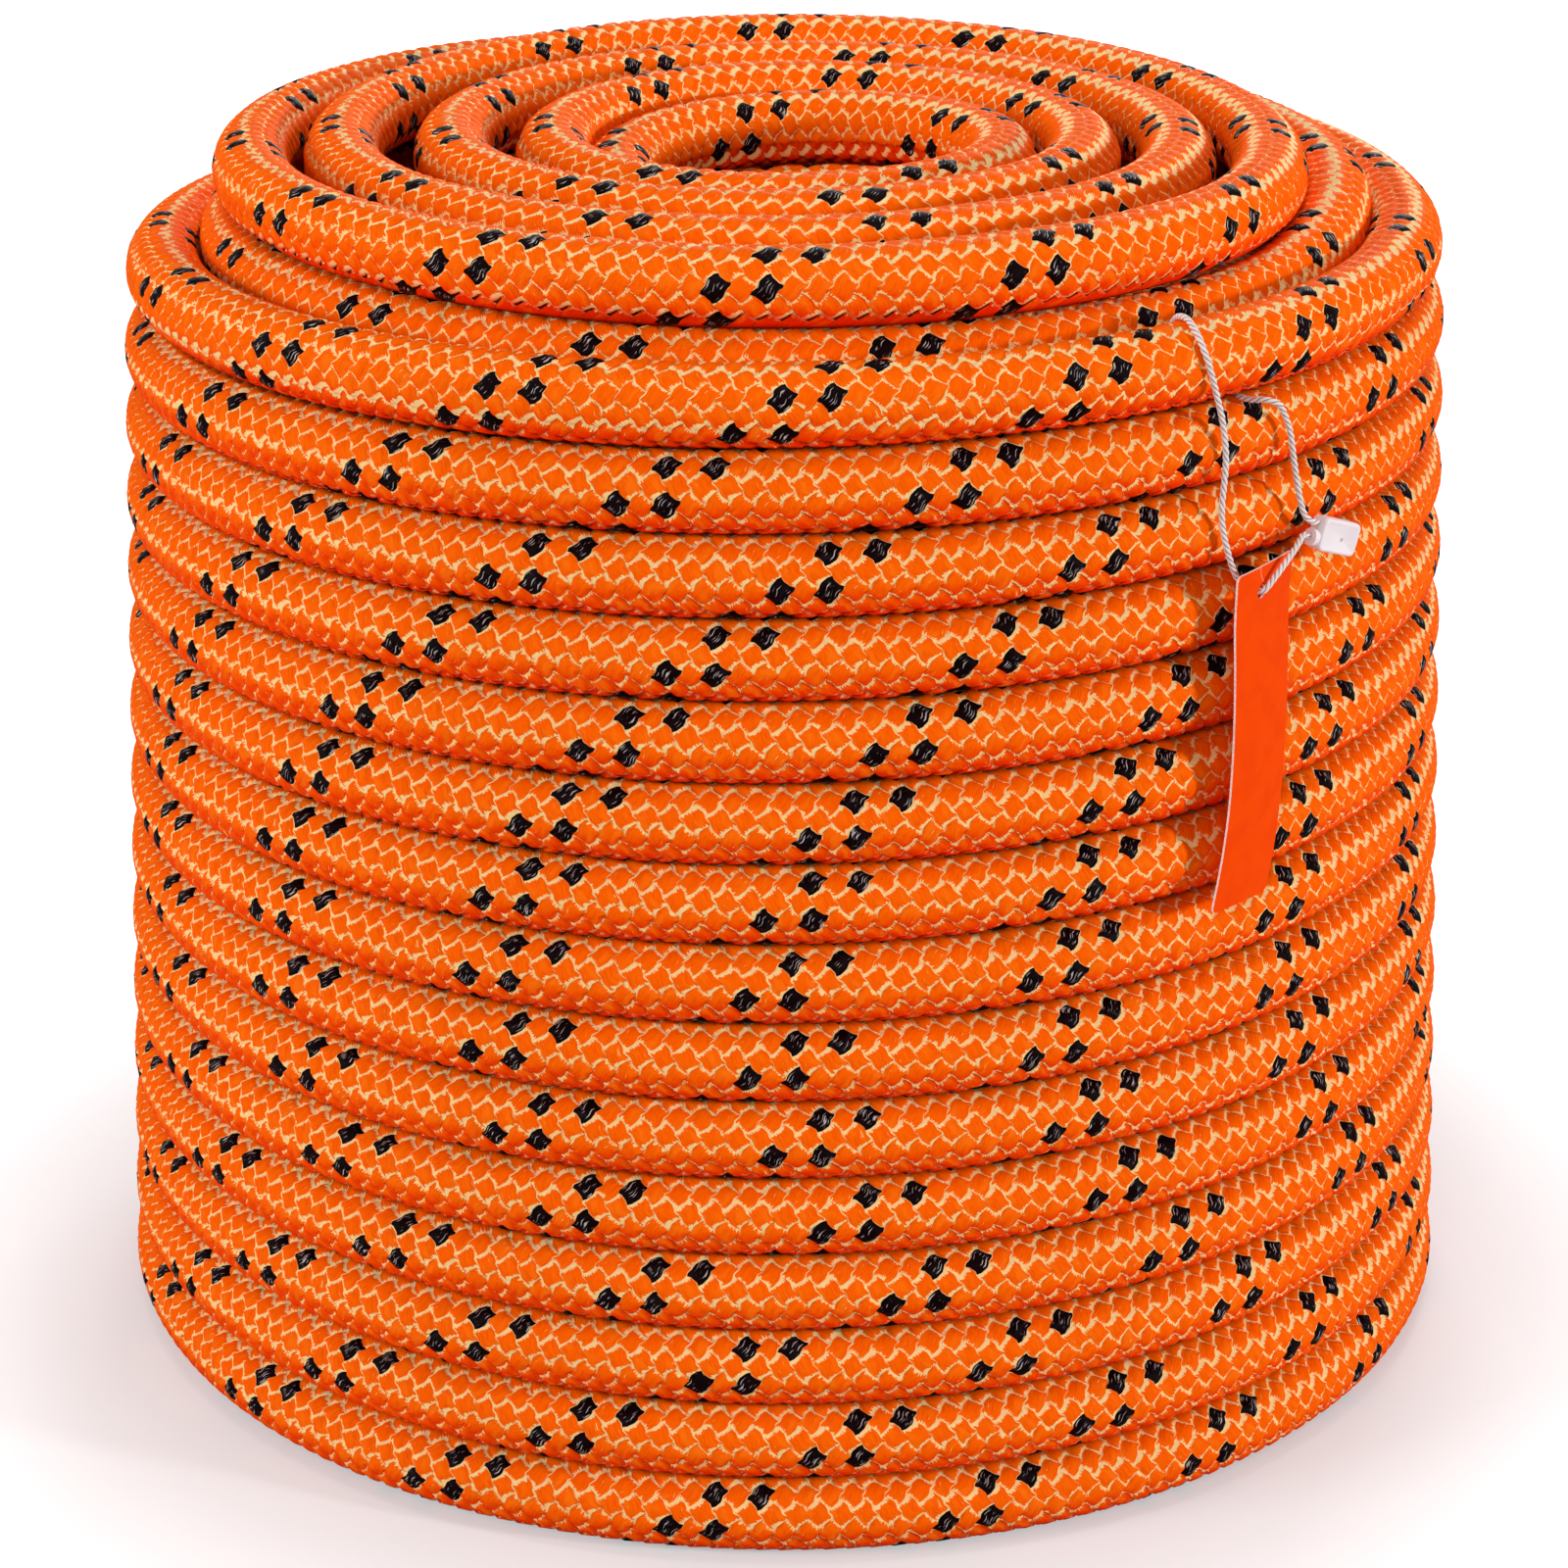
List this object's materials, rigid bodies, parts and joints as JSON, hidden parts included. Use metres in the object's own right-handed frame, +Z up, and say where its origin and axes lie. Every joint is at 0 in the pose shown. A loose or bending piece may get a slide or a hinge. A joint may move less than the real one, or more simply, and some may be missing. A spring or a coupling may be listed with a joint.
{
  "type": "coil of braided rope",
  "caption": "Thick braided rope wound as a drum-shaped coil with an open middle, carrying a plain swing tag on a sealed string.",
  "frame": {"origin": "centre of the foot of the coil, on the surface that it stands on", "axes": "+Z up along the open middle; the front of the coil faces -Y; the tag hangs at the front right"},
  "size_m": [0.2402, 0.24, 0.2119],
  "materials": {
    "rope_braid": "braided filament with sheen, bright orange with pairs of black marker strands",
    "rope_core": "braided filament, off-white",
    "fused_tip": "melted fibre, hard and glossy",
    "tag_card": "smooth coated card, plain orange",
    "tag_string": "thin twisted thread, white",
    "seal_plastic": "moulded, slightly translucent white"
  },
  "bodies": {
    "rope": {"rope_outer_winding": "rope_braid", "rope_inner_layers": "rope_braid", "outer_end_cover": "rope_braid", "outer_end_core": "rope_core", "outer_end_fused_tip": "fused_tip", "inner_end_cover": "rope_braid", "inner_end_core": "rope_core", "inner_end_fused_tip": "fused_tip", "tag_string_loop": "tag_string"},
    "tag_string": {"tag_string_legs": "tag_string", "seal_housing": "seal_plastic", "seal_plug": "seal_plastic"},
    "tag": {"tag_card": "tag_card"}
  },
  "joints": [
    {"name": "string_swing", "type": "hinge", "parent": "rope", "child": "tag_string", "pos_m": [0.07224, -0.08854, 0.18421], "axis": [-0.809, -0.5878, 0], "range_deg": [0, 90]},
    {"name": "tag_swing", "type": "hinge", "parent": "tag_string", "child": "tag", "pos_m": [0.07379, -0.09186, 0.15721], "axis": [0.7939, -0.607, 0.0349], "range_deg": [-35, 15]}
  ]
}
